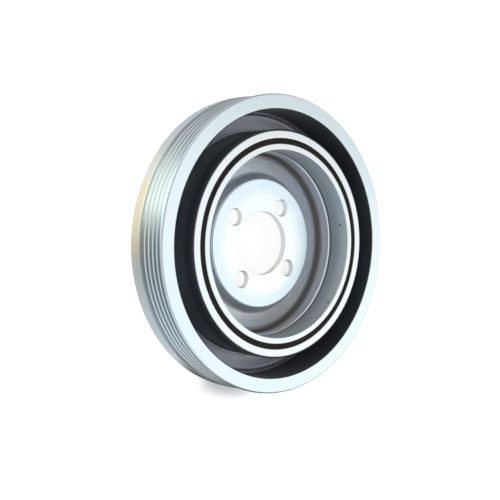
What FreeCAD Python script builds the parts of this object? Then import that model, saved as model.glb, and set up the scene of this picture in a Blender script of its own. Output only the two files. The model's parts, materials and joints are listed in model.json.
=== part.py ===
import FreeCAD, Part
import math
import os

# Crankshaft pulley with a rubber damper. All sizes are in millimetres.
# The frame's origin is the centre of the crank seat: the back face of the hub's mounting plate,
# on the axis. +Z runs along the axis towards the open front. Depths are measured backwards
# from the front face of the rim.

# Crank mounting
bore_radius = 18.0
bolt_count = 4
bolt_circle_radius = 25.0
bolt_hole_radius = 4.5
bolt_hole_chamfer = 0.5
first_bolt_angle = 45.0
plate_radius = 36.7
plate_depth = 17.3

# Pressed hub
sheet = 3.7
plate_side_angle = 30.0
plate_edge_rounding = 1.5
plate_foot_rounding = 2.5
seat_corner_rounding = 1.0
seat_mouth_rounding = 3.0
web_width = 12.1
web_dish = 1.4
hub_corner_inside = 2.5
hub_corner_outside = 5.5
hub_back_setback = 0.5
turned_bore_step = 0.5
turned_bore_depth = 14.4
ring_proud = 0.5
edge_break = 0.3

# Rubber damper ring
rubber_thickness = 3.1
rubber_front_recess = 0.5
rubber_meniscus = 0.4
rubber_meniscus_rounding = 2.0
rubber_back_clearance = 0.5

# U-section pulley ring
sleeve_wall = 4.1
channel_width = 12.2
rim_thickness = 8.2
rim_width = 28.0
channel_floor_thickness = 4.5
rim_front_rounding = 1.0
rim_back_rounding = 1.2
back_taper_length = 4.2
back_taper_drop = 0.5
sleeve_ledge_width = 1.8
sleeve_ledge_height = 0.8
sleeve_ledge_rounding = 0.3
rim_ledge_width = 1.3
rim_ledge_height = 2.6
rim_foot_rounding = 2.2
floor_band_width = 4.0
floor_band_step = 0.3
sleeve_back_rounding = 1.0

# Belt grooves
groove_count = 5
rib_pitch = 3.56
groove_angle = 40.0
rib_drop = 0.7
rib_tip_rounding = 0.5
groove_root_rounding = 0.4
flange_edge_rounding = 0.25
front_flange_width = 1.4

# Rubber linings of the channel's walls
rim_lining_thickness = 0.5
sleeve_lining_thickness = 0.9
lining_front_setback = 0.4
lining_edge_rounding = 0.2

# Heights in the frame
rim_front = plate_depth + sheet
ring_front = rim_front + ring_proud
rim_back = rim_front - rim_width
hub_back = rim_back + hub_back_setback
channel_floor = rim_back + channel_floor_thickness

# Radii from the axis outwards
plate_side_slope = math.tan(math.radians(plate_side_angle))
web_outer_floor = hub_back + sheet
web_inner_floor = web_outer_floor + web_dish
plate_foot_radius = plate_radius + (sheet - web_inner_floor) * plate_side_slope
hub_inner_radius = plate_foot_radius + web_width
hub_turned_radius = hub_inner_radius + turned_bore_step
hub_outer_radius = hub_inner_radius + sheet
sleeve_inner_radius = hub_outer_radius + rubber_thickness
sleeve_outer_radius = sleeve_inner_radius + sleeve_wall
rim_inner_radius = sleeve_outer_radius + channel_width
rim_radius = rim_inner_radius + rim_thickness


def unit(vector):
    return vector * (1.0 / vector.Length)


def section(corners):
    """Closed face in the XZ plane from (radius, height, rounding) corners, in order."""
    points = [FreeCAD.Vector(radius, 0, height) for radius, height, rounding in corners]
    edges = []
    starts = []
    ends = []
    arcs = []
    for i, corner in enumerate(corners):
        point = points[i]
        rounding = corner[2]
        to_last = unit(points[i - 1] - point)
        to_next = unit(points[(i + 1) % len(points)] - point)
        half_turn = to_last.getAngle(to_next) / 2
        reach = rounding / math.tan(half_turn)
        starts.append(point + to_last * reach)
        ends.append(point + to_next * reach)
        middle = point + unit(to_last + to_next) * (rounding / math.sin(half_turn) - rounding)
        arcs.append(middle if rounding else None)
    for i, middle in enumerate(arcs):
        if middle:
            edges.append(Part.Arc(starts[i], middle, ends[i]).toShape())
        following = starts[(i + 1) % len(starts)]
        edges.append(Part.LineSegment(ends[i], following).toShape())
    return Part.Face(Part.Wire(edges))


def turned(corners):
    """Solid of revolution about the axis."""
    return section(corners).revolve(FreeCAD.Vector(0, 0, 0), FreeCAD.Vector(0, 0, 1), 360)


def bolt_hole(angle):
    """Cutter for one bolt hole through the mounting plate, chamfered at both faces."""
    mouth_radius = bolt_hole_radius + bolt_hole_chamfer
    front_chamfer = Part.makeCone(bolt_hole_radius, mouth_radius, bolt_hole_chamfer)
    front_chamfer.translate(FreeCAD.Vector(0, 0, sheet - bolt_hole_chamfer))
    back_chamfer = Part.makeCone(mouth_radius, bolt_hole_radius, bolt_hole_chamfer)
    cutter = Part.makeCylinder(bolt_hole_radius, sheet).fuse([front_chamfer, back_chamfer])
    cutter.translate(FreeCAD.Vector(bolt_circle_radius, 0, 0))
    cutter.rotate(FreeCAD.Vector(0, 0, 0), FreeCAD.Vector(0, 0, 1), angle)
    return cutter


def make_hub():
    """Pressed cup: raised plate, dished web and wall, with the wall's bore and ends turned."""
    # The seat's side keeps the sheet's thickness measured square to the plate's slanting side.
    side_thickness = sheet / math.cos(math.radians(plate_side_angle))
    seat_radius = plate_radius + sheet * plate_side_slope - side_thickness
    web_back_inner = hub_back + web_dish
    seat_mouth_radius = seat_radius - web_back_inner * plate_side_slope
    ledge = rim_front - turned_bore_depth
    blank = turned([
        (bore_radius, sheet, edge_break),
        (plate_radius, sheet, plate_edge_rounding),
        (plate_foot_radius, web_inner_floor, plate_foot_rounding),
        (hub_inner_radius, web_outer_floor, hub_corner_inside),
        (hub_inner_radius, ledge, 0),
        (hub_turned_radius, ledge, 0),
        (hub_turned_radius, ring_front, edge_break),
        (hub_outer_radius, ring_front, edge_break),
        (hub_outer_radius, hub_back, hub_corner_outside),
        (seat_mouth_radius, web_back_inner, seat_mouth_rounding),
        (seat_radius, 0, seat_corner_rounding),
        (bore_radius, 0, edge_break),
    ])
    step = 360.0 / bolt_count
    holes = [bolt_hole(first_bolt_angle + i * step) for i in range(bolt_count)]
    return blank.cut(holes)


def make_damper_rubber():
    """Rubber ring between the hub's wall and the sleeve, with a hollow front face."""
    front = ring_front - rubber_front_recess
    back = hub_back + hub_corner_outside + rubber_back_clearance
    middle_radius = (hub_outer_radius + sleeve_inner_radius) / 2
    return turned([
        (hub_outer_radius, front, 0),
        (middle_radius, front - rubber_meniscus, rubber_meniscus_rounding),
        (sleeve_inner_radius, front, 0),
        (sleeve_inner_radius, back, 0),
        (middle_radius, back + rubber_meniscus, rubber_meniscus_rounding),
        (hub_outer_radius, back, 0),
    ])


def groove_corners():
    """Corners of the V grooves from the front flange's edge to the back flange's edge."""
    half_slope = math.tan(math.radians(groove_angle / 2))
    tip_lift = rib_tip_rounding / math.sin(math.radians(groove_angle / 2)) - rib_tip_rounding
    sharp_tip_radius = rim_radius - rib_drop + tip_lift
    sharp_root_radius = sharp_tip_radius - rib_pitch / 2 / half_slope
    flange_half_width = (rim_radius - sharp_root_radius) * half_slope
    first_root = rim_front - front_flange_width - flange_half_width
    last_root = first_root - (groove_count - 1) * rib_pitch
    corners = [(rim_radius, first_root + flange_half_width, flange_edge_rounding)]
    for i in range(groove_count):
        root = first_root - i * rib_pitch
        corners.append((sharp_root_radius, root, groove_root_rounding))
        if i < groove_count - 1:
            corners.append((sharp_tip_radius, root - rib_pitch / 2, rib_tip_rounding))
    corners.append((rim_radius, last_root - flange_half_width, flange_edge_rounding))
    return corners


def make_pulley_ring():
    """U-section ring: grooved rim, channel floor and sleeve."""
    sleeve_ledge = channel_floor + sleeve_ledge_height
    sleeve_ledge_radius = sleeve_outer_radius + sleeve_ledge_width
    rim_ledge_radius = rim_inner_radius - rim_ledge_width
    band_radius = sleeve_ledge_radius + floor_band_width
    outer_floor = channel_floor + floor_band_step
    return turned([
        (rim_inner_radius, rim_front, edge_break),
        (rim_radius, rim_front, rim_front_rounding),
        *groove_corners(),
        (rim_radius, rim_back + back_taper_length, 0),
        (rim_radius - back_taper_drop, rim_back, rim_back_rounding),
        (sleeve_inner_radius, rim_back, sleeve_back_rounding),
        (sleeve_inner_radius, ring_front, edge_break),
        (sleeve_outer_radius, ring_front, edge_break),
        (sleeve_outer_radius, sleeve_ledge, 0),
        (sleeve_ledge_radius, sleeve_ledge, sleeve_ledge_rounding),
        (sleeve_ledge_radius, channel_floor, 0),
        (band_radius, channel_floor, 0),
        (band_radius, outer_floor, 0),
        (rim_ledge_radius, outer_floor, rim_foot_rounding),
        (rim_ledge_radius, channel_floor + rim_ledge_height, 0),
        (rim_inner_radius, channel_floor + rim_ledge_height, 0),
    ])


def make_rim_lining():
    """Black rubber skin bonded to the rim's inner wall, down to the ledge at its foot."""
    face_radius = rim_inner_radius - rim_lining_thickness
    front = rim_front - lining_front_setback
    back = channel_floor + rim_ledge_height
    return turned([
        (face_radius, back, 0),
        (rim_inner_radius, back, 0),
        (rim_inner_radius, front, 0),
        (face_radius, front, lining_edge_rounding),
    ])


def make_sleeve_lining():
    """Black rubber skin bonded to the sleeve's outer wall, down to the ledge at its foot."""
    face_radius = sleeve_outer_radius + sleeve_lining_thickness
    front = ring_front - lining_front_setback
    back = channel_floor + sleeve_ledge_height
    return turned([
        (sleeve_outer_radius, back, 0),
        (face_radius, back, 0),
        (face_radius, front, lining_edge_rounding),
        (sleeve_outer_radius, front, 0),
    ])


pieces = {
    "hub": make_hub(),
    "damper_rubber": make_damper_rubber(),
    "pulley_ring": make_pulley_ring(),
    "rim_lining": make_rim_lining(),
    "sleeve_lining": make_sleeve_lining(),
}

os.makedirs("parts", exist_ok=True)
for name, shape in pieces.items():
    shape.exportStep(os.path.join("parts", name + ".step"))
    print(name, "volume", round(shape.Volume, 1), "valid", shape.isValid())
print("outside diameter", round(2 * rim_radius, 2), "width", round(ring_front - rim_back, 2))
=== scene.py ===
"""A crankshaft pulley with a rubber damper, dressed as a bright zinc-plated part for a studio view."""

import json
import math

import bmesh
import bpy
from bpy.props import FloatProperty, FloatVectorProperty, IntProperty, PointerProperty
from mathutils import Matrix, Vector


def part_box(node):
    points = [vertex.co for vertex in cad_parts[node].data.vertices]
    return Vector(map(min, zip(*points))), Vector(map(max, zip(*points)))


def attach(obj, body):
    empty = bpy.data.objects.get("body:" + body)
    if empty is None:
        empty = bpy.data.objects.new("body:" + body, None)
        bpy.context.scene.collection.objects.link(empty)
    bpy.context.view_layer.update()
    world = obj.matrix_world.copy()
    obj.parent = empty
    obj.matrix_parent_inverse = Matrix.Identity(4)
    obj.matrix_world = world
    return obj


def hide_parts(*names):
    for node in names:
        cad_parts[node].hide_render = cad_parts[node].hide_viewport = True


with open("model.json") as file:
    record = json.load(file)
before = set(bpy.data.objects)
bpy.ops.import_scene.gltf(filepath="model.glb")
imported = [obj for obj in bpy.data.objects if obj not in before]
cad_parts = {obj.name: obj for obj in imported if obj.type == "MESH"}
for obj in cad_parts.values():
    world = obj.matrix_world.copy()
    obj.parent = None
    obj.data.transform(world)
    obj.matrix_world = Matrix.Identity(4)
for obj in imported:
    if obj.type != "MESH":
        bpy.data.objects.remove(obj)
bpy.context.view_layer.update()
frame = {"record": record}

bl_info = {
    "name": "Crankshaft pulley",
    "version": (1, 0, 0),
    "blender": (4, 5, 0),
    "location": "View3D > Sidebar > Pulley",
    "description": "Builds a zinc-plated crankshaft pulley with a rubber damper, and its studio",
    "category": "Add Mesh",
}

MM = 0.001
BODY = "root"
MOUNTS = {mount["name"]: mount for mount in frame["record"]["mounts"]}
BORE_RADIUS = MOUNTS["crank_bore"]["dims"]["r_mm"] * MM
BOLTS = MOUNTS["crank_bolts"]["dims"]
PLATE_FACE = MOUNTS["bolt_head_face"]["pos_m"][2]


def cad_radius(node):
    """A round CAD node's outer radius, never outside its box."""
    low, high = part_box(node)
    return min(-low.x, -low.y, high.x, high.y)


RIM_RADIUS = cad_radius("pulley_ring")
RIM_INNER_RADIUS = cad_radius("rim_lining")
SLEEVE_FACE_RADIUS = cad_radius("sleeve_lining")
SLEEVE_INNER_RADIUS = cad_radius("damper_rubber")
HUB_RADIUS = cad_radius("hub")
RIM_BACK, RING_FRONT = (corner.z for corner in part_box("pulley_ring"))
RUBBER_BACK, RUBBER_FRONT = (corner.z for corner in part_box("damper_rubber"))
RIM_LINING_BACK, RIM_LINING_FRONT = (corner.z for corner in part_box("rim_lining"))
SLEEVE_LINING_BACK, SLEEVE_LINING_FRONT = (corner.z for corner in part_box("sleeve_lining"))


def length(name, description, millimetres):
    """A length that the panel shows in the scene's unit."""
    return FloatProperty(
        name=name, description=description, default=millimetres * MM, min=0, subtype="DISTANCE",
        unit="LENGTH",
    )


def slope(name, description, degrees):
    """An angle that the panel shows in degrees."""
    return FloatProperty(
        name=name, description=description, default=math.radians(degrees), subtype="ANGLE",
        unit="ROTATION",
    )


def linear(hex_colour):
    """Linear RGB of an sRGB hex colour such as #e8eef0."""
    channels = [int(hex_colour[i:i + 2], 16) / 255 for i in (1, 3, 5)]
    return [c / 12.92 if c <= 0.04045 else ((c + 0.055) / 1.055) ** 2.4 for c in channels]


def colour(name, description, hex_colour):
    """A colour property, written as sRGB hex."""
    return FloatVectorProperty(
        name=name, description=description, default=linear(hex_colour), min=0, max=1, subtype="COLOR",
    )


def direction(azimuth, elevation):
    """Unit vector of a direction given in degrees."""
    azimuth = math.radians(azimuth)
    elevation = math.radians(elevation)
    level = math.cos(elevation)
    return Vector((level * math.cos(azimuth), level * math.sin(azimuth), math.sin(elevation)))


def on_side(azimuth, radius, height):
    """The point at that azimuth in degrees, and at that radius and height in millimetres."""
    return direction(azimuth, 0) * radius * MM + Vector((0, 0, height * MM))


class PulleySizes(bpy.types.PropertyGroup):
    """Sizes of the pulley's details. The overall sizes come from the frame."""

    groove_count: IntProperty(name="Grooves", description="Number of belt grooves", default=5, min=1)
    rib_pitch: length("Rib pitch", "Distance from one belt groove to the next", 3.56)
    groove_angle: slope("Groove angle", "Angle between a groove's flanks", 40)
    rib_drop: length("Rib drop", "How far the rib tips lie below the flanges", 0.7)
    rib_tip: length("Rib tip", "Rounding of a rib's tip", 0.5)
    groove_root: length("Groove root", "Rounding of a groove's root", 0.4)
    flange_edge: length("Flange edge", "Rounding of the flanges' edges at the grooves", 0.25)
    front_flange: length("Front flange", "Width of the flange before the first groove", 1.4)
    rim_front_rounding: length("Rim front", "Rounding of the rim's front edge", 1.0)
    rim_back_rounding: length("Rim back", "Rounding of the rim's back edge", 1.2)
    back_taper: length("Back taper", "Length of the back flange's taper", 4.2)
    back_taper_drop: length("Back taper drop", "How far the back taper falls", 0.5)
    edge_break: length("Edge break", "Rounding of the turned edges", 0.3)
    channel_floor: length("Channel floor", "Thickness of the ring's web under the channel", 4.5)
    sleeve_ledge: length("Sleeve ledge", "Width of the ledge at the sleeve's foot", 1.8)
    sleeve_ledge_edge: length("Sleeve ledge edge", "Rounding of the ledge at the sleeve's foot", 0.45)
    rim_ledge: length("Rim ledge", "Width of the ledge at the rim's foot", 1.3)
    rim_foot: length("Rim foot", "Rounding at the rim's foot", 2.2)
    floor_band: length("Floor band", "Width of the lower band of the channel's floor", 4.0)
    floor_step: length("Floor step", "Height of the step on the channel's floor", 0.3)
    sleeve_back: length("Sleeve back", "Rounding of the sleeve's back edge", 1.0)
    rim_lining: length("Rim lining", "Thickness of the rim's rubber lining", 0.5)
    sleeve_lining: length("Sleeve lining", "Thickness of the sleeve's rubber lining", 0.9)
    lining_setback: length("Lining setback", "How far the linings end behind the steel", 0.4)
    lining_edge: length("Lining edge", "Rounding of the linings' front edges", 0.2)
    rubber_hollow: length("Rubber hollow", "Depth of the hollow in the damper rubber's faces", 0.4)
    hollow_rounding: length("Hollow rounding", "Rounding of the damper rubber's hollow", 2.0)
    sheet: length("Hub sheet", "Thickness of the hub's pressed sheet", 3.7)
    plate_radius: length("Plate radius", "Radius of the raised mounting plate", 36.7)
    plate_edge: length("Plate edge", "Rounding of the mounting plate's edge", 1.5)
    plate_side: slope("Plate side", "Slant of the mounting plate's side", 30)
    plate_foot: length("Plate foot", "Rounding at the foot of the plate's side", 2.5)
    web_dish: length("Web dish", "How much higher the web lies at the plate than at the wall", 1.4)
    corner_inside: length("Corner inside", "Rounding between the web and the wall, inside", 2.5)
    corner_outside: length("Corner outside", "Rounding between the web and the wall, outside", 5.5)
    hub_setback: length("Hub setback", "How far the hub ends before the rim's back", 0.5)
    wall_step: length("Wall step", "Depth that is turned off the wall's bore", 0.5)
    wall_bore: length("Wall bore", "Length of the turned bore, from the rim's front", 14.4)
    ledge_edge: length("Ledge edge", "Height of the wall's slanting ledge", 0.5)
    seat_mouth: length("Seat mouth", "Rounding of the crank seat's mouth", 3.0)
    seat_corner: length("Seat corner", "Rounding of the crank seat's corner", 1.0)
    hole_chamfer: length("Hole chamfer", "Chamfer of the bolt holes", 0.5)


class PulleyFinish(bpy.types.PropertyGroup):
    """Colours of the pulley's finishes and of the studio."""

    turned_zinc: colour("Turned zinc", "Zinc plating over turned steel", "#dce7ea")
    bored_zinc: colour("Bored zinc", "Zinc plating over the hub's bored wall", "#d5dbde")
    rolled_zinc: colour("Rolled zinc", "Zinc plating over the rolled rib tips and flanges", "#e0e7ea")
    # The groove zinc is darker than the rolled zinc of the rib tips: partly a duller finish, partly painted
    # shade down in the grooves.
    groove_zinc: colour("Groove zinc", "Duller zinc plating down in the belt grooves", "#bfc9cf")
    bright_zinc: colour("Bright zinc", "Zinc plating over the faces turned last", "#e5eaed")
    plate_zinc: colour("Plate zinc", "Zinc plating over the mounting plate, a little creamy", "#eff2f0")
    pressed_zinc: colour("Pressed zinc", "Zinc plating over pressed, unturned steel", "#dfe3ea")
    channel_zinc: colour("Channel zinc", "Dull zinc plating on the channel's floor", "#c3c6cf")
    damper_rubber: colour("Damper rubber", "Brownish black rubber of the damper ring", "#282422")
    rim_lining: colour("Rim lining", "Bluish black rubber skin of the rim", "#33383f")
    sleeve_lining: colour("Sleeve lining", "Bluish black rubber skin of the sleeve", "#343a40")
    # The sleeve lining's paler foot is painted light.
    sleeve_lining_lit_foot: colour("Sleeve lining foot", "The sleeve's rubber skin, paler at its foot with painted light", "#9098a2")
    paper: colour("Studio paper", "Pale floor of the studio", "#f6f6f6")


def add_node(tree, kind, inputs=None, **settings):
    """Adds a node. inputs maps an input's name or index to a value, or to the socket that feeds it. On a
    map range, 0 is the value, 1 and 2 are the range it comes from, and 3 and 4 the range it goes to. On a
    mix, 0 is the factor, and 2 and 3 are the numbers, or 6 and 7 the colours."""
    made = tree.nodes.new(kind)
    for name, value in settings.items():
        setattr(made, name, value)
    for key, value in (inputs or {}).items():
        if isinstance(value, bpy.types.NodeSocket):
            tree.links.new(value, made.inputs[key])
        else:
            made.inputs[key].default_value = value
    return made


def new_material(name):
    """An empty node material and its tree."""
    material = bpy.data.materials.new(name)
    material.use_nodes = True
    material.node_tree.nodes.clear()
    return material, material.node_tree


def around_axis(tree):
    """The place on the piece, its height, its part square to the axis, and the radius."""
    place = add_node(tree, "ShaderNodeTexCoord").outputs["Object"]
    axes = add_node(tree, "ShaderNodeSeparateXYZ", {0: place}).outputs
    flat = add_node(tree, "ShaderNodeCombineXYZ", {0: axes["X"], 1: axes["Y"]}).outputs[0]
    radius = add_node(tree, "ShaderNodeVectorMath", {0: flat}, operation="LENGTH").outputs["Value"]
    return place, axes["Z"], flat, radius


def lathe_coordinates(tree, height, flat, radius, lines):
    """Coordinates for 4-D noise as a vector and w. They change fast across the turned lines and slowly
    along them."""
    heading = add_node(tree, "ShaderNodeVectorMath", {0: flat}, operation="NORMALIZE").outputs["Vector"]
    turn = add_node(tree, "ShaderNodeSeparateXYZ", {0: heading}).outputs
    across, along, turn_x, turn_y = (
        add_node(tree, "ShaderNodeMath", {0: value, 1: scale}, operation="MULTIPLY").outputs[0]
        for value, scale in (
            (radius, lines["per_metre"]),
            (height, lines["per_metre"]),
            (turn["X"], lines["around"]),
            (turn["Y"], lines["around"]),
        )
    )
    vector = add_node(tree, "ShaderNodeCombineXYZ", {0: across, 1: along, 2: turn_x}).outputs[0]
    return vector, turn_y


def tint_ramp(tree, factor, stops):
    """A colour ramp from (position, linear colour) stops."""
    ramp = add_node(tree, "ShaderNodeValToRGB", {0: factor})
    elements = ramp.color_ramp.elements
    while len(elements) < len(stops):
        elements.new(0.5)
    for element, (position, rgb) in zip(elements, stops):
        element.position = position
        element.color = (*rgb, 1)
    return ramp.outputs["Color"]


def tinted_near(tree, film, place, point, near, far, rgb):
    """The film, turning to rgb between far and near, the distances of place from the point."""
    away = add_node(
        tree, "ShaderNodeVectorMath", {0: place, 1: point}, operation="DISTANCE"
    ).outputs["Value"]
    shade = add_node(
        tree, "ShaderNodeMapRange", {0: away, 1: near, 2: far, 3: 1.0, 4: 0.0},
        interpolation_type="SMOOTHSTEP",
    ).outputs[0]
    return add_node(
        tree, "ShaderNodeMix", {0: shade, 6: film, 7: (*rgb, 1)}, data_type="RGBA"
    ).outputs[2]


# The passivation film's tints, as factors on the plating's colour. Its clouds are some 70 mm across.
FILM_BLUE = (0.90, 1.0, 1.06)
FILM_YELLOW = (1.10, 1.04, 0.92)
FILM_PINK = (1.06, 0.97, 1.02)
CLOUDS_PER_METRE = 14.0


def zinc(name, base, roughness, lines, clouds, corners=(), patches=()):
    """Zinc-plated steel, clear-passivated. The eye sees a bright satin metal with faint lathe lines around
    the axis and weak clouds of blue, yellow and pink from the passivation film. The colour turns to another
    near corners, given as (radius, height, near, far, colour), and at patches, given as (point, near, far,
    colour). These hold painted shade and painted highlights, specks of dirt and a bluer tint at the plate's
    edge."""
    material, tree = new_material(name)
    place, height, flat, radius = around_axis(tree)
    vector, w = lathe_coordinates(tree, height, flat, radius, lines)
    streak = add_node(
        tree, "ShaderNodeTexNoise", {"Vector": vector, "W": w, "Scale": 1.0, "Detail": 3.0},
        noise_dimensions="4D",
    ).outputs[0]
    cloud = add_node(
        tree, "ShaderNodeTexNoise", {"Vector": place, "Scale": CLOUDS_PER_METRE, "Detail": 1.0}
    ).outputs[0]
    blue, yellow, pink = (
        [c * (1 + clouds * (k - 1)) for c, k in zip(base, tint)]
        for tint in (FILM_BLUE, FILM_YELLOW, FILM_PINK)
    )
    film = tint_ramp(tree, cloud, [(0.34, blue), (0.46, base), (0.55, base), (0.64, yellow), (0.74, pink)])
    worn = add_node(
        tree, "ShaderNodeMapRange", {0: streak, 1: 0.35, 2: 0.65, 3: 1 - lines["contrast"], 4: 1.0}
    ).outputs[0]
    film = add_node(tree, "ShaderNodeVectorMath", {0: film, 3: worn}, operation="SCALE").outputs["Vector"]
    for corner_radius, corner_height, near, far, rgb in corners:
        section = add_node(tree, "ShaderNodeCombineXYZ", {0: radius, 1: height}).outputs[0]
        film = tinted_near(tree, film, section, (corner_radius, corner_height, 0), near, far, rgb)
    for point, near, far, rgb in patches:
        film = tinted_near(tree, film, place, point, near, far, rgb)
    shine = add_node(
        tree, "ShaderNodeMapRange", {0: streak, 1: 0.3, 2: 0.7, 3: roughness[0], 4: roughness[1]}
    ).outputs[0]
    bump = add_node(
        tree, "ShaderNodeBump",
        {"Strength": lines["strength"], "Distance": lines["depth"], "Height": streak},
    ).outputs[0]
    inputs = {"Base Color": film, "Metallic": 1.0, "Roughness": shine, "Normal": bump}
    shader = add_node(tree, "ShaderNodeBsdfPrincipled", inputs)
    add_node(tree, "ShaderNodeOutputMaterial", {"Surface": shader.outputs[0]})


def add_zincs(sizes, finish):
    """The zinc finishes. Lathe lines are about 0.12 mm apart on the real part. They are drawn 0.5 mm apart,
    or they wouldn't show. The pressed sheet isn't turned, so its lines are uneven and it scatters more."""
    turned = {
        "per_metre": 1 / (0.5 * MM), "around": 3.0, "strength": 0.06, "depth": 0.05 * MM, "contrast": 0.02,
    }
    bored = {
        "per_metre": 1 / (0.5 * MM), "around": 40.0, "strength": 0.1, "depth": 0.05 * MM, "contrast": 0.04,
    }
    pressed = {
        "per_metre": 1 / (0.8 * MM), "around": 9.0, "strength": 0.3, "depth": 0.08 * MM, "contrast": 0.2,
    }
    wall = HUB_RADIUS - sizes.sheet
    bored_wall = wall + sizes.wall_step
    web = RIM_BACK + sizes.hub_setback + sizes.sheet
    ledge = rim_front(sizes) - sizes.wall_bore
    plate_rim = (sizes.plate_radius - 3 * MM, PLATE_FACE, 0.5 * MM, 9 * MM, linear("#dce9f0"))
    # Painted shade: a brownish dark tint in the corner between the web and the wall.
    web_corner_painted_shade = (wall - 0.6 * MM, web + 0.6 * MM, 0.5 * MM, 3.6 * MM, linear("#615b59"))
    # Painted shade: a grey that deepens down the bored wall towards the ledge, and a dark line just above
    # the ledge.
    ledge_painted_shade = [
        (bored_wall, ledge, 0.5 * MM, 12 * MM, linear("#b4babf")),
        (bored_wall, ledge + 1.1 * MM, 0.3 * MM, 0.9 * MM, linear("#7c7c7e")),
    ]
    dirt_specks = [
        (on_side(azimuth, 52.2, height), 0.4 * MM, 0.8 * MM, linear("#273038"))
        for azimuth, height in ((2.9, 16.0), (309.6, 18.8))
    ]
    # Painted highlight: a paler patch on the belt grooves at azimuth 148, where the paper's glow is
    # strongest.
    pale = [(on_side(148, 80, 9), 12 * MM, 30 * MM, linear("#e4eeec"))]
    # Painted highlights: warm cream patches on the back flange, on the same side.
    creamy = [
        (on_side(azimuth, 82.5, -2.8), 1 * MM, 12 * MM, linear("#ebe3cf"))
        for azimuth in (150, 157, 164, 171)
    ]
    zinc("turned zinc-plated steel", finish.turned_zinc, (0.22, 0.3), turned, 0.25)
    zinc("bright zinc-plated steel", finish.bright_zinc, (0.24, 0.34), turned, 0.35)
    zinc("plate zinc-plated steel", finish.plate_zinc, (0.24, 0.34), turned, 0.35, [plate_rim])
    zinc(
        "bored zinc-plated steel", finish.bored_zinc, (0.38, 0.46), bored, 0.4, ledge_painted_shade,
        patches=dirt_specks,
    )
    zinc("rolled zinc-plated steel", finish.rolled_zinc, (0.2, 0.28), turned, 1.0, patches=creamy)
    zinc("groove zinc-plated steel", finish.groove_zinc, (0.25, 0.35), turned, 1.0, patches=pale)
    zinc("pressed zinc-plated steel", finish.pressed_zinc, (0.42, 0.52), pressed, 0.5, [web_corner_painted_shade])
    zinc("dull zinc-plated steel", finish.channel_zinc, (0.45, 0.6), pressed, 0.4)


# Where the sleeve's lining turns from a paler foot, which is painted light, to black, and how many patches
# of dust lie along a metre.
LIT_FOOT_HEIGHTS = (4 * MM, 16 * MM)
DUST_PATCHES_PER_METRE = 45.0


def rubber(name, low, high, heights, roughness, sheen, grain):
    """Moulded black rubber. The eye sees a soft black with a weak sheen, broken by a fine grain and pale
    specks of dust. Its colour changes from low to high between the two heights. The grain is its size."""
    material, tree = new_material(name)
    place = add_node(tree, "ShaderNodeTexCoord").outputs["Object"]
    height = add_node(tree, "ShaderNodeSeparateXYZ", {0: place}).outputs["Z"]
    rise = add_node(tree, "ShaderNodeMapRange", {0: height, 1: heights[0], 2: heights[1]}).outputs[0]
    level = tint_ramp(tree, rise, [(0.0, low), (1.0, high)])
    fine = add_node(
        tree, "ShaderNodeTexNoise", {"Vector": place, "Scale": 1 / grain, "Detail": 4.0}
    ).outputs[0]
    patch = add_node(
        tree, "ShaderNodeTexNoise", {"Vector": place, "Scale": DUST_PATCHES_PER_METRE, "Detail": 2.0}
    ).outputs[0]
    dust = add_node(tree, "ShaderNodeMapRange", {0: fine, 1: 0.35, 2: 0.7, 3: 0.6, 4: 1.6}).outputs[0]
    worn = add_node(tree, "ShaderNodeMapRange", {0: patch, 1: 0.3, 2: 0.7, 3: 0.8, 4: 1.2}).outputs[0]
    both = add_node(tree, "ShaderNodeMath", {0: dust, 1: worn}, operation="MULTIPLY").outputs[0]
    film = add_node(tree, "ShaderNodeVectorMath", {0: level, 3: both}, operation="SCALE").outputs["Vector"]
    shine = add_node(
        tree, "ShaderNodeMapRange", {0: patch, 1: 0.3, 2: 0.7, 3: roughness[0], 4: roughness[1]}
    ).outputs[0]
    bump = add_node(
        tree, "ShaderNodeBump", {"Strength": 0.25, "Distance": 0.1 * MM, "Height": fine}
    ).outputs[0]
    inputs = {
        "Base Color": film, "Roughness": shine, "Normal": bump, "Specular IOR Level": 0.2,
        "Sheen Weight": sheen, "Sheen Roughness": 0.4,
    }
    shader = add_node(tree, "ShaderNodeBsdfPrincipled", inputs)
    add_node(tree, "ShaderNodeOutputMaterial", {"Surface": shader.outputs[0]})


def add_rubbers(finish):
    """The damper's brownish rubber, the linings' bluish one, and that one paler at the sleeve's foot with
    painted light.
    """
    damper, rim = finish.damper_rubber, finish.rim_lining
    foot, sleeve = finish.sleeve_lining_lit_foot, finish.sleeve_lining
    ends = (RUBBER_BACK, RUBBER_FRONT)
    rubber("moulded damper rubber", damper, damper, ends, (0.7, 0.85), 0.0, 0.35 * MM)
    ends = (RIM_LINING_BACK, RIM_LINING_FRONT)
    rubber("bonded lining rubber", rim, rim, ends, (0.6, 0.75), 0.15, 0.5 * MM)
    # The sleeve's lining turns paler towards its foot: painted light.
    rubber("lining rubber with painted light at its foot", foot, sleeve, LIT_FOOT_HEIGHTS, (0.65, 0.8), 0.05, 0.5 * MM)


# The paper around the pulley, by azimuth in degrees. The glow, painted light, is what reflections see of it
# at the pulley's foot, and further out. Painted shade darkens it for reflections alone.
ARC_START = 100
ARC_END = 260
OPEN_AZIMUTH = 148
SHADOW_AZIMUTH = 250
FOOT_GLOW = (
    (110, (0.08, 0.08, 0.08)), (132, (0.2, 0.2, 0.2)), (145, (0.4, 0.4, 0.34)),
    (154, (0.4, 0.38, 0.32)), (166, (0.26, 0.24, 0.19)), (180, (0.16, 0.15, 0.13)),
    (200, (0.25, 0.26, 0.25)), (222, (0.28, 0.28, 0.28)), (234, (0.0, 0.0, 0.0)),
)
WIDE_GLOW = (
    (110, (0.0, 0.0, 0.02)), (131, (0.1, 0.12, 0.16)), (139, (0.9, 0.95, 1.0)),
    (153, (1.2, 1.25, 1.2)), (162, (0.5, 0.52, 0.5)), (171, (0.06, 0.08, 0.08)),
    (182, (0.0, 0.0, 0.02)), (226, (0.0, 0.0, 0.01)), (240, (0.0, 0.0, 0.0)),
)
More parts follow.
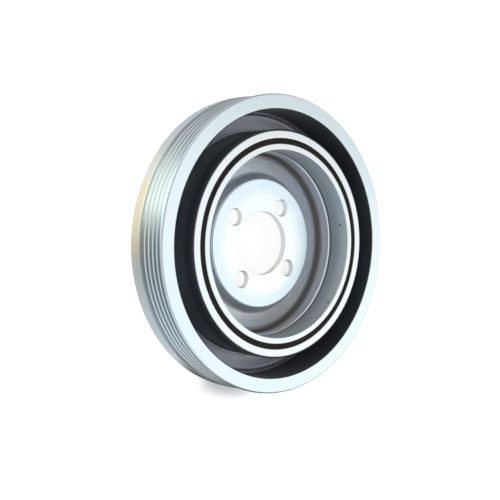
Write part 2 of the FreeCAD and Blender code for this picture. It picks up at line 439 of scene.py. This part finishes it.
FOOT_PAINTED_SHADE = tuple(
    (azimuth, (level, level, level))
    for azimuth, level in ((165, 1.0), (176, 0.7), (190, 0.75), (220, 0.8), (231, 0.2))
)

# The same paper, by distance from the axis: where the wide glow takes over, where the painted contact
# shadow fades, and where the bore ends. Each is the two ends of a map range.
WIDE_EDGE = {1: 88 * MM, 2: 94 * MM}
SHADOW_EDGE = {1: 84 * MM, 2: 93 * MM}
BORE_EDGE = {1: 30 * MM, 2: 45 * MM}

# How much glow the camera sees: away from the open side, on it, inside the bore, and less in the painted
# shadow.
SHADED_GLOW = 0.52
OPEN_GLOW = 0.9
BORE_GLOW = 0.81
SHADOW_LOSS = 0.5
# Inside the bore the paper is darker and glows instead: painted light that keeps it evenly pale.
BORE_REFLECTED = (0.6, 0.6, 0.6, 1)
BORE_PAPER = (0.3, 0.3, 0.3, 1)


def by_azimuth(tree, turn, stops):
    """A colour ramp along the arc, from (azimuth, colour) stops."""
    arc = ARC_END - ARC_START
    return tint_ramp(tree, turn, [((azimuth - ARC_START) / arc, rgb) for azimuth, rgb in stops])


def seen_glow(tree, distance, inside, ahead, below):
    """The glow that the camera sees, as a colour: more at the open side, less in the painted contact shadow.
    """
    open_side = add_node(
        tree, "ShaderNodeMapRange", {0: ahead, 1: 0.0, 2: 0.8, 3: SHADED_GLOW, 4: OPEN_GLOW},
        interpolation_type="SMOOTHSTEP",
    ).outputs[0]
    below = add_node(
        tree, "ShaderNodeMapRange", {0: below, 1: 0.955, 2: 0.998, 3: 0.0, 4: 1.0},
        interpolation_type="SMOOTHSTEP",
    ).outputs[0]
    shadow = add_node(
        tree, "ShaderNodeMapRange", {0: distance, **SHADOW_EDGE, 3: -SHADOW_LOSS, 4: 0.0},
        interpolation_type="SMOOTHSTEP",
    ).outputs[0]
    shadow = add_node(tree, "ShaderNodeMath", {0: shadow, 1: below}, operation="MULTIPLY").outputs[0]
    seen = add_node(
        tree, "ShaderNodeMix", {0: inside, 2: open_side, 3: BORE_GLOW}, data_type="FLOAT"
    ).outputs[0]
    seen = add_node(tree, "ShaderNodeMath", {0: seen, 1: shadow}, operation="ADD").outputs[0]
    return add_node(tree, "ShaderNodeCombineXYZ", {0: seen, 1: seen, 2: seen}).outputs[0]


def studio_paper(finish):
    """Seamless white paper that keeps the pulley's shadow. The camera and reflections see a glow of painted
    light added to it, so that it is plain white away from the foot. The glow is stronger at the upper left,
    as if a lamp stood low there, and inside the bore. For the camera it is weaker in a painted contact
    shadow at the foot."""
    material, tree = new_material("studio paper")
    rays = add_node(tree, "ShaderNodeLightPath").outputs
    mirrored = rays["Is Glossy Ray"]
    direct = add_node(
        tree, "ShaderNodeMath", {0: rays["Is Camera Ray"], 1: rays["Is Transmission Ray"]},
        operation="MAXIMUM",
    ).outputs[0]
    either = add_node(tree, "ShaderNodeMath", {0: direct, 1: mirrored}, operation="MAXIMUM").outputs[0]
    place = add_node(tree, "ShaderNodeTexCoord").outputs["Object"]
    distance = add_node(tree, "ShaderNodeVectorMath", {0: place}, operation="LENGTH").outputs["Value"]
    heading = add_node(tree, "ShaderNodeVectorMath", {0: place}, operation="NORMALIZE").outputs["Vector"]
    ahead, aside, below = (
        add_node(
            tree, "ShaderNodeVectorMath", {0: heading, 1: direction(azimuth, 0)}, operation="DOT_PRODUCT"
        ).outputs["Value"]
        for azimuth in (OPEN_AZIMUTH, OPEN_AZIMUTH + 90, SHADOW_AZIMUTH)
    )
    angle = add_node(tree, "ShaderNodeMath", {0: aside, 1: ahead}, operation="ARCTAN2").outputs[0]
    arc = {1: math.radians(ARC_START - OPEN_AZIMUTH), 2: math.radians(ARC_END - OPEN_AZIMUTH)}
    turn = add_node(tree, "ShaderNodeMapRange", {0: angle, **arc}).outputs[0]
    beyond = add_node(tree, "ShaderNodeMapRange", {0: distance, **WIDE_EDGE}).outputs[0]
    inside = add_node(tree, "ShaderNodeMapRange", {0: distance, **BORE_EDGE, 3: 1.0, 4: 0.0}).outputs[0]
    seen = seen_glow(tree, distance, inside, ahead, below)
    lamp = add_node(
        tree, "ShaderNodeMix",
        {0: beyond, 6: by_azimuth(tree, turn, FOOT_GLOW), 7: by_azimuth(tree, turn, WIDE_GLOW)},
        data_type="RGBA",
    ).outputs[2]
    lamp = add_node(
        tree, "ShaderNodeMix", {0: inside, 6: lamp, 7: BORE_REFLECTED}, data_type="RGBA"
    ).outputs[2]
    glow = add_node(tree, "ShaderNodeMix", {0: mirrored, 6: seen, 7: lamp}, data_type="RGBA").outputs[2]
    # Painted shade on the paper at the pulley's foot, for reflections alone.
    card = by_azimuth(tree, turn, FOOT_PAINTED_SHADE)
    card = add_node(
        tree, "ShaderNodeMix", {0: mirrored, 6: (1, 1, 1, 1), 7: card}, data_type="RGBA"
    ).outputs[2]
    shade = add_node(
        tree, "ShaderNodeMix", {0: inside, 6: (*finish.paper, 1), 7: BORE_PAPER}, data_type="RGBA"
    ).outputs[2]
    shade = add_node(
        tree, "ShaderNodeVectorMath", {0: shade, 1: card}, operation="MULTIPLY"
    ).outputs["Vector"]
    paper = add_node(tree, "ShaderNodeBsdfDiffuse", {"Color": shade}).outputs[0]
    white = add_node(tree, "ShaderNodeEmission", {"Color": glow, "Strength": either}).outputs[0]
    both = add_node(tree, "ShaderNodeAddShader", {0: paper, 1: white}).outputs[0]
    add_node(tree, "ShaderNodeOutputMaterial", {"Surface": both})
    return material


SPIN_STEPS = 288
ROUNDING_SEGMENTS = 5
SHARP_ANGLE = math.radians(32)


def turned_mesh(name, corners):
    """A closed mesh of revolution from (radius, height, rounding) corners, in order around the section."""
    mesh = bmesh.new()
    points = [mesh.verts.new((radius, 0, height)) for radius, height, rounding in corners]
    mesh.faces.new(points)
    for i, point in enumerate(points):
        rounding = corners[i][2]
        if not rounding:
            continue
        here = Vector(corners[i][:2])
        to_last = Vector(corners[i - 1][:2]) - here
        to_next = Vector(corners[(i + 1) % len(corners)][:2]) - here
        reach = rounding / math.tan(to_last.angle(to_next) / 2)
        bmesh.ops.bevel(
            mesh, geom=[point], offset=reach, offset_type="OFFSET", affect="VERTICES",
            segments=ROUNDING_SEGMENTS, profile=0.5, material=-1,
        )
    bmesh.ops.delete(mesh, geom=mesh.faces[:], context="FACES_ONLY")
    bmesh.ops.spin(
        mesh, geom=mesh.verts[:] + mesh.edges[:], cent=(0, 0, 0), axis=(0, 0, 1), dvec=(0, 0, 0),
        angle=math.tau, steps=SPIN_STEPS, use_merge=True, use_duplicate=False,
    )
    bmesh.ops.remove_doubles(mesh, verts=mesh.verts, dist=1e-6)
    bmesh.ops.recalc_face_normals(mesh, faces=mesh.faces)
    made = bpy.data.meshes.new(name)
    mesh.to_mesh(made)
    mesh.free()
    return made


def finish_piece(name, mesh, materials, slot, *nodes):
    """Smooths a mesh, makes it a piece in place of the CAD nodes, and lets it ride on the pulley's body."""
    mesh.shade_smooth()
    mesh.set_sharp_from_angle(angle=SHARP_ANGLE)
    piece = bpy.data.objects.new(name, mesh)
    bpy.context.scene.collection.objects.link(piece)
    for material in materials:
        mesh.materials.append(material)
    weighted = piece.modifiers.new("weighted normals", "WEIGHTED_NORMAL")
    weighted.keep_sharp = True
    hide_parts(*nodes)
    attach(piece, BODY)


def paint(mesh, index, is_there):
    """Gives the material slot of that index to the faces whose middle (radius, height) is_there accepts."""
    for polygon in mesh.polygons:
        x, y, z = polygon.center
        if is_there(math.hypot(x, y), z):
            polygon.material_index = index


def zincs(*finishes):
    """The zinc materials of those finishes, in order."""
    return [bpy.data.materials[finish + " zinc-plated steel"] for finish in finishes]


def rim_front(sizes):
    """Height of the rim's front face, a little before the rim lining's front."""
    return RIM_LINING_FRONT + sizes.lining_setback


def groove_corners(sizes):
    """Corners of the belt grooves from the front flange's edge to the back flange's edge."""
    half_slope = math.tan(sizes.groove_angle / 2)
    tip_lift = sizes.rib_tip / math.sin(sizes.groove_angle / 2) - sizes.rib_tip
    sharp_tip = RIM_RADIUS - sizes.rib_drop + tip_lift
    sharp_root = sharp_tip - sizes.rib_pitch / 2 / half_slope
    half_mouth = (RIM_RADIUS - sharp_root) * half_slope
    first_root = rim_front(sizes) - sizes.front_flange - half_mouth
    last_root = first_root - (sizes.groove_count - 1) * sizes.rib_pitch
    corners = [(RIM_RADIUS, first_root + half_mouth, sizes.flange_edge)]
    for i in range(sizes.groove_count):
        root = first_root - i * sizes.rib_pitch
        corners.append((sharp_root, root, sizes.groove_root))
        if i < sizes.groove_count - 1:
            corners.append((sharp_tip, root - sizes.rib_pitch / 2, sizes.rib_tip))
    corners.append((RIM_RADIUS, last_root - half_mouth, sizes.flange_edge))
    return corners


class PULLEY_OT_ring(bpy.types.Operator):
    """Builds the U-section pulley ring with its belt grooves"""

    bl_idname = "pulley.ring"
    bl_label = "Pulley ring"

    def execute(self, context):
        sizes = context.scene.pulley_sizes
        front = rim_front(sizes)
        floor = RIM_BACK + sizes.channel_floor
        sleeve_outer = SLEEVE_FACE_RADIUS - sizes.sleeve_lining
        sleeve_ledge = sleeve_outer + sizes.sleeve_ledge
        rim_ledge = RIM_INNER_RADIUS - sizes.rim_ledge
        band = sleeve_ledge + sizes.floor_band
        corners = [
            (RIM_INNER_RADIUS, front, sizes.edge_break),
            (RIM_RADIUS, front, sizes.rim_front_rounding),
            *groove_corners(sizes),
            (RIM_RADIUS, RIM_BACK + sizes.back_taper, 0),
            (RIM_RADIUS - sizes.back_taper_drop, RIM_BACK, sizes.rim_back_rounding),
            (SLEEVE_INNER_RADIUS, RIM_BACK, sizes.sleeve_back),
            (SLEEVE_INNER_RADIUS, RING_FRONT, sizes.edge_break),
            (sleeve_outer, RING_FRONT, sizes.edge_break),
            (sleeve_outer, SLEEVE_LINING_BACK, 0),
            (sleeve_ledge, SLEEVE_LINING_BACK, sizes.sleeve_ledge_edge),
            (sleeve_ledge, floor, 0),
            (band, floor, 0),
            (band, floor + sizes.floor_step, 0),
            (rim_ledge, floor + sizes.floor_step, sizes.rim_foot),
            (rim_ledge, RIM_LINING_BACK, 0),
            (RIM_INNER_RADIUS, RIM_LINING_BACK, 0),
        ]
        mesh = turned_mesh("pulley ring", corners)
        steels = zincs("turned", "bright", "dull", "rolled", "groove")
        materials = [*steels, bpy.data.materials["bonded lining rubber"]]
        turned, bright, dull, rolled, groove, lined = range(len(materials))
        finish_piece("pulley_ring_steel", mesh, materials, "zinc_plated_steel", "pulley_ring")
        paint(mesh, bright, lambda radius, height: radius < SLEEVE_FACE_RADIUS and height > front)
        paint(mesh, dull, lambda radius, height: (
            sleeve_outer < radius < RIM_INNER_RADIUS and height < RIM_LINING_BACK + sizes.edge_break
        ))
        paint(mesh, rolled, lambda radius, height: (
            radius > RIM_INNER_RADIUS and RIM_BACK < height < front - sizes.rim_front_rounding
        ))
        # The groove flanks and roots take the darker groove zinc, partly painted shade.
        rib_flank = RIM_RADIUS - sizes.rib_drop - sizes.rib_tip * 0.6
        paint(mesh, groove, lambda radius, height: (
            RIM_INNER_RADIUS < radius < rib_flank
            and RIM_BACK + sizes.back_taper < height < front - sizes.front_flange
        ))
        paint(mesh, turned, lambda radius, height: (
            abs(radius - sleeve_ledge) < sizes.sleeve_ledge_edge
            and abs(height - SLEEVE_LINING_BACK) < sizes.sleeve_ledge_edge
        ))
        wall_margin = sizes.edge_break * 0.2
        paint(mesh, lined, lambda radius, height: (
            sleeve_outer - wall_margin < radius < RIM_INNER_RADIUS + wall_margin
            and RIM_LINING_BACK < height < front
        ))
        return {"FINISHED"}


class PULLEY_OT_hub(bpy.types.Operator):
    """Builds the pressed hub with its bore and bolt holes"""

    bl_idname = "pulley.hub"
    bl_label = "Hub"

    def execute(self, context):
        sizes = context.scene.pulley_sizes
        sheet = sizes.sheet
        slant = math.tan(sizes.plate_side)
        hub_back = RIM_BACK + sizes.hub_setback
        outer_floor = hub_back + sheet
        inner_floor = outer_floor + sizes.web_dish
        foot = sizes.plate_radius + (PLATE_FACE - inner_floor) * slant
        inner_radius = HUB_RADIUS - sheet
        turned_radius = inner_radius + sizes.wall_step
        seat_radius = sizes.plate_radius + sheet * slant - sheet / math.cos(sizes.plate_side)
        back_inner = hub_back + sizes.web_dish
        ledge = rim_front(sizes) - sizes.wall_bore
        corners = [
            (BORE_RADIUS, PLATE_FACE, sizes.edge_break),
            (sizes.plate_radius, PLATE_FACE, sizes.plate_edge),
            (foot, inner_floor, sizes.plate_foot),
            (inner_radius, outer_floor, sizes.corner_inside),
            (inner_radius, ledge - sizes.ledge_edge, 0),
            (turned_radius, ledge, 0),
            (turned_radius, RING_FRONT, sizes.edge_break),
            (HUB_RADIUS, RING_FRONT, sizes.edge_break),
            (HUB_RADIUS, hub_back, sizes.corner_outside),
            (seat_radius - back_inner * slant, back_inner, sizes.seat_mouth),
            (seat_radius, 0, sizes.seat_corner),
            (BORE_RADIUS, 0, sizes.edge_break),
        ]
        mesh = self.drilled(turned_mesh("hub", corners), sizes.hole_chamfer)
        materials = zincs("bored", "bright", "pressed", "plate")
        bored, bright, pressed, plate = range(len(materials))
        finish_piece("hub_steel", mesh, materials, "zinc_plated_steel", "hub")
        paint(mesh, bright, lambda radius, height: height > RUBBER_FRONT)
        paint(mesh, plate, lambda radius, height: radius < sizes.plate_radius)
        paint(mesh, bright, lambda radius, height: (
            inner_radius - sizes.edge_break < radius < turned_radius
            and 0 < ledge - height < sizes.ledge_edge
        ))
        paint(mesh, pressed, lambda radius, height: (
            radius > sizes.plate_radius and height < ledge - sizes.ledge_edge
        ))
        return {"FINISHED"}

    def drilled(self, mesh, chamfer):
        """The mesh with its bolt holes, each chamfered at both faces."""
        hole = BOLTS["hole_r_mm"] * MM
        beyond = 1 * MM
        corners = [
            (0, -beyond, 0),
            (hole + chamfer + beyond, -beyond, 0),
            (hole, chamfer, 0),
            (hole, PLATE_FACE - chamfer, 0),
            (hole + chamfer + beyond, PLATE_FACE + beyond, 0),
            (0, PLATE_FACE + beyond, 0),
        ]
        drill = turned_mesh("drill", corners)
        blank = bpy.data.objects.new("hub blank", mesh)
        bpy.context.scene.collection.objects.link(blank)
        drills = []
        for i in range(BOLTS["count"]):
            cutter = bpy.data.objects.new("drill", drill.copy())
            place = Matrix.Rotation(math.tau * (i + 0.5) / BOLTS["count"], 4, "Z")
            place = place @ Matrix.Translation((BOLTS["pcd_mm"] / 2 * MM, 0, 0))
            cutter.data.transform(place)
            bpy.context.scene.collection.objects.link(cutter)
            drills.append(cutter)
            cut = blank.modifiers.new("bolt hole", "BOOLEAN")
            cut.operation = "DIFFERENCE"
            cut.solver = "EXACT"
            cut.object = cutter
        view = bpy.context.evaluated_depsgraph_get()
        drilled = bpy.data.meshes.new_from_object(blank.evaluated_get(view))
        for leftover in [blank, *drills]:
            bpy.data.objects.remove(leftover)
        drilled.name = "hub"
        return drilled


class PULLEY_OT_rubber(bpy.types.Operator):
    """Builds the damper's rubber ring and the channel's rubber linings"""

    bl_idname = "pulley.rubber"
    bl_label = "Rubber"

    def execute(self, context):
        sizes = context.scene.pulley_sizes
        middle = (HUB_RADIUS + SLEEVE_INNER_RADIUS) / 2
        ring = turned_mesh("damper rubber", [
            (HUB_RADIUS, RUBBER_FRONT, 0),
            (middle, RUBBER_FRONT - sizes.rubber_hollow, sizes.hollow_rounding),
            (SLEEVE_INNER_RADIUS, RUBBER_FRONT, 0),
            (SLEEVE_INNER_RADIUS, RUBBER_BACK, 0),
            (middle, RUBBER_BACK + sizes.rubber_hollow, sizes.hollow_rounding),
            (HUB_RADIUS, RUBBER_BACK, 0),
        ])
        rim_face = RIM_INNER_RADIUS - sizes.rim_lining
        rim = turned_mesh("rim lining", [
            (rim_face, RIM_LINING_BACK, 0),
            (RIM_INNER_RADIUS, RIM_LINING_BACK, 0),
            (RIM_INNER_RADIUS, RIM_LINING_FRONT, 0),
            (rim_face, RIM_LINING_FRONT, sizes.lining_edge),
        ])
        sleeve_outer = SLEEVE_FACE_RADIUS - sizes.sleeve_lining
        sleeve = turned_mesh("sleeve lining", [
            (sleeve_outer, SLEEVE_LINING_BACK, 0),
            (SLEEVE_FACE_RADIUS, SLEEVE_LINING_BACK, 0),
            (SLEEVE_FACE_RADIUS, SLEEVE_LINING_FRONT, sizes.lining_edge),
            (sleeve_outer, SLEEVE_LINING_FRONT, 0),
        ])
        for name, mesh, material, slot, node in (
            ("damper_rubber_ring", ring, "moulded damper rubber", "damper_rubber", "damper_rubber"),
            ("rim_lining_rubber", rim, "bonded lining rubber", "lining_rubber", "rim_lining"),
            ("sleeve_lining_rubber", sleeve, "lining rubber with painted light at its foot", "lining_rubber", "sleeve_lining"),
        ):
            finish_piece(name, mesh, [bpy.data.materials[material]], slot, node)
        return {"FINISHED"}


# The surroundings that light the pulley: bright walls under a ceiling that darkens between two heights,
# given as the sines of their elevations. The dark cards on the walls are (azimuth, half width, half width
# of the darkest middle, shade), with the first three in degrees.
WALL_LEVEL = 0.89
WALL_TINT = (0.95, 0.98, 1, 1)
WALL_CARDS = ((293, 24, 8, 0.8), (54, 32, 16, 0.5))
CEILING_LEVEL = 0.25
CEILING_EDGE = {1: 0.88, 2: 0.985}

# Radius of the paper floor, in metres.
PAPER_RADIUS = 12.0


def add_softbox(name, toward, distance, size, watts, target):
    """A square area lamp that faces the target from that direction."""
    lamp = bpy.data.lights.new(name, "AREA")
    lamp.shape = "SQUARE"
    lamp.size = size
    lamp.energy = watts
    softbox = bpy.data.objects.new(name, lamp)
    softbox.location = target + toward * distance
    softbox.rotation_euler = toward.to_track_quat("Z", "Y").to_euler()
    bpy.context.scene.collection.objects.link(softbox)


class PULLEY_OT_stage(bpy.types.Operator):
    """Sets the studio: the paper floor, the surroundings, the camera and one softbox"""

    bl_idname = "pulley.stage"
    bl_label = "Studio"

    def execute(self, context):
        floor = bmesh.new()
        bmesh.ops.create_circle(floor, cap_ends=True, segments=96, radius=PAPER_RADIUS)
        bmesh.ops.translate(floor, verts=floor.verts, vec=(0, 0, RIM_BACK))
        mesh = bpy.data.meshes.new("studio floor")
        floor.to_mesh(mesh)
        floor.free()
        mesh.materials.append(studio_paper(context.scene.pulley_finish))
        paper = bpy.data.objects.new("studio_floor", mesh)
        context.scene.collection.objects.link(paper)
        self.add_world(context)
        self.add_camera(context)
        add_softbox(
            "key softbox", toward=direction(-32, 50), distance=0.9, size=0.75, watts=0.7,
            target=Vector((0, 0, RING_FRONT)),
        )
        return {"FINISHED"}

    def add_world(self, context):
        """Plain white for the camera. Otherwise bright walls with two dark cards, under a dark ceiling."""
        world = bpy.data.worlds.new("white studio")
        context.scene.world = world
        world.use_nodes = True
        tree = world.node_tree
        tree.nodes.clear()
        rays = add_node(tree, "ShaderNodeLightPath").outputs
        heading = add_node(tree, "ShaderNodeTexCoord").outputs["Generated"]
        height = add_node(tree, "ShaderNodeSeparateXYZ", {0: heading}).outputs["Z"]
        level = add_node(
            tree, "ShaderNodeMapRange", {0: height, **CEILING_EDGE, 3: WALL_LEVEL, 4: CEILING_LEVEL},
            interpolation_type="SMOOTHSTEP",
        ).outputs[0]
        across = add_node(
            tree, "ShaderNodeVectorMath", {0: heading, 1: (1, 1, 0)}, operation="MULTIPLY"
        ).outputs["Vector"]
        across = add_node(
            tree, "ShaderNodeVectorMath", {0: across}, operation="NORMALIZE"
        ).outputs["Vector"]
        for azimuth, wide, narrow, shade in WALL_CARDS:
            toward = add_node(
                tree, "ShaderNodeVectorMath", {0: across, 1: direction(azimuth, 0)}, operation="DOT_PRODUCT"
            ).outputs["Value"]
            edge = {1: math.cos(math.radians(wide)), 2: math.cos(math.radians(narrow))}
            card = add_node(
                tree, "ShaderNodeMapRange", {0: toward, **edge, 3: 1.0, 4: 1 - shade},
                interpolation_type="SMOOTHSTEP",
            ).outputs[0]
            level = add_node(tree, "ShaderNodeMath", {0: level, 1: card}, operation="MULTIPLY").outputs[0]
        around = add_node(
            tree, "ShaderNodeBackground", {"Color": WALL_TINT, "Strength": level}
        ).outputs[0]
        white = add_node(
            tree, "ShaderNodeBackground", {"Color": (1, 1, 1, 1), "Strength": 1.0}
        ).outputs[0]
        mixed = add_node(
            tree, "ShaderNodeMixShader", {0: rays["Is Camera Ray"], 1: around, 2: white}
        ).outputs[0]
        add_node(tree, "ShaderNodeOutputWorld", {"Surface": mixed})

    def add_camera(self, context):
        """The photograph's view: high on the left of the open side, and turned on its side so that the
        part's +Y points up in the picture."""
        back = direction(167.77, 48.65)
        roll = math.radians(93.30)
        distance = 493.1 * MM
        aim = Vector((-24.20, 0.83, 20.76)) * MM
        level_right = Vector((0, 0, 1)).cross(back).normalized()
        level_up = back.cross(level_right)
        right = level_right * math.cos(roll) + level_up * math.sin(roll)
        up = back.cross(right)
        turn = Matrix((right, up, back)).transposed()
        lens = bpy.data.cameras.new("camera")
        lens.sensor_width = 36
        lens.lens = 65.95
        camera = bpy.data.objects.new("camera", lens)
        camera.matrix_world = Matrix.Translation(aim + back * distance) @ turn.to_4x4()
        context.scene.collection.objects.link(camera)
        context.scene.camera = camera
        context.scene.view_settings.view_transform = "Standard"


class PULLEY_PT_panel(bpy.types.Panel):
    """Lists the pulley's pieces, sizes and finishes"""

    bl_label = "Crankshaft pulley"
    bl_idname = "PULLEY_PT_panel"
    bl_space_type = "VIEW_3D"
    bl_region_type = "UI"
    bl_category = "Pulley"

    def draw(self, context):
        for group in (context.scene.pulley_sizes, context.scene.pulley_finish):
            box = self.layout.box()
            for name in group.__annotations__:
                box.prop(group, name)
        for operator in OPERATORS:
            self.layout.operator(operator.bl_idname)


OPERATORS = (PULLEY_OT_ring, PULLEY_OT_hub, PULLEY_OT_rubber, PULLEY_OT_stage)
CLASSES = (PulleySizes, PulleyFinish, *OPERATORS, PULLEY_PT_panel)


def register():
    for part in CLASSES:
        bpy.utils.register_class(part)
    bpy.types.Scene.pulley_sizes = PointerProperty(type=PulleySizes)
    bpy.types.Scene.pulley_finish = PointerProperty(type=PulleyFinish)


def unregister():
    del bpy.types.Scene.pulley_finish
    del bpy.types.Scene.pulley_sizes
    for part in reversed(CLASSES):
        bpy.utils.unregister_class(part)


def main():
    register()
    sizes = bpy.context.scene.pulley_sizes
    finish = bpy.context.scene.pulley_finish
    add_zincs(sizes, finish)
    add_rubbers(finish)
    bpy.ops.pulley.rubber()
    bpy.ops.pulley.ring()
    bpy.ops.pulley.hub()
    bpy.ops.pulley.stage()


if __name__ == "__main__":
    main()
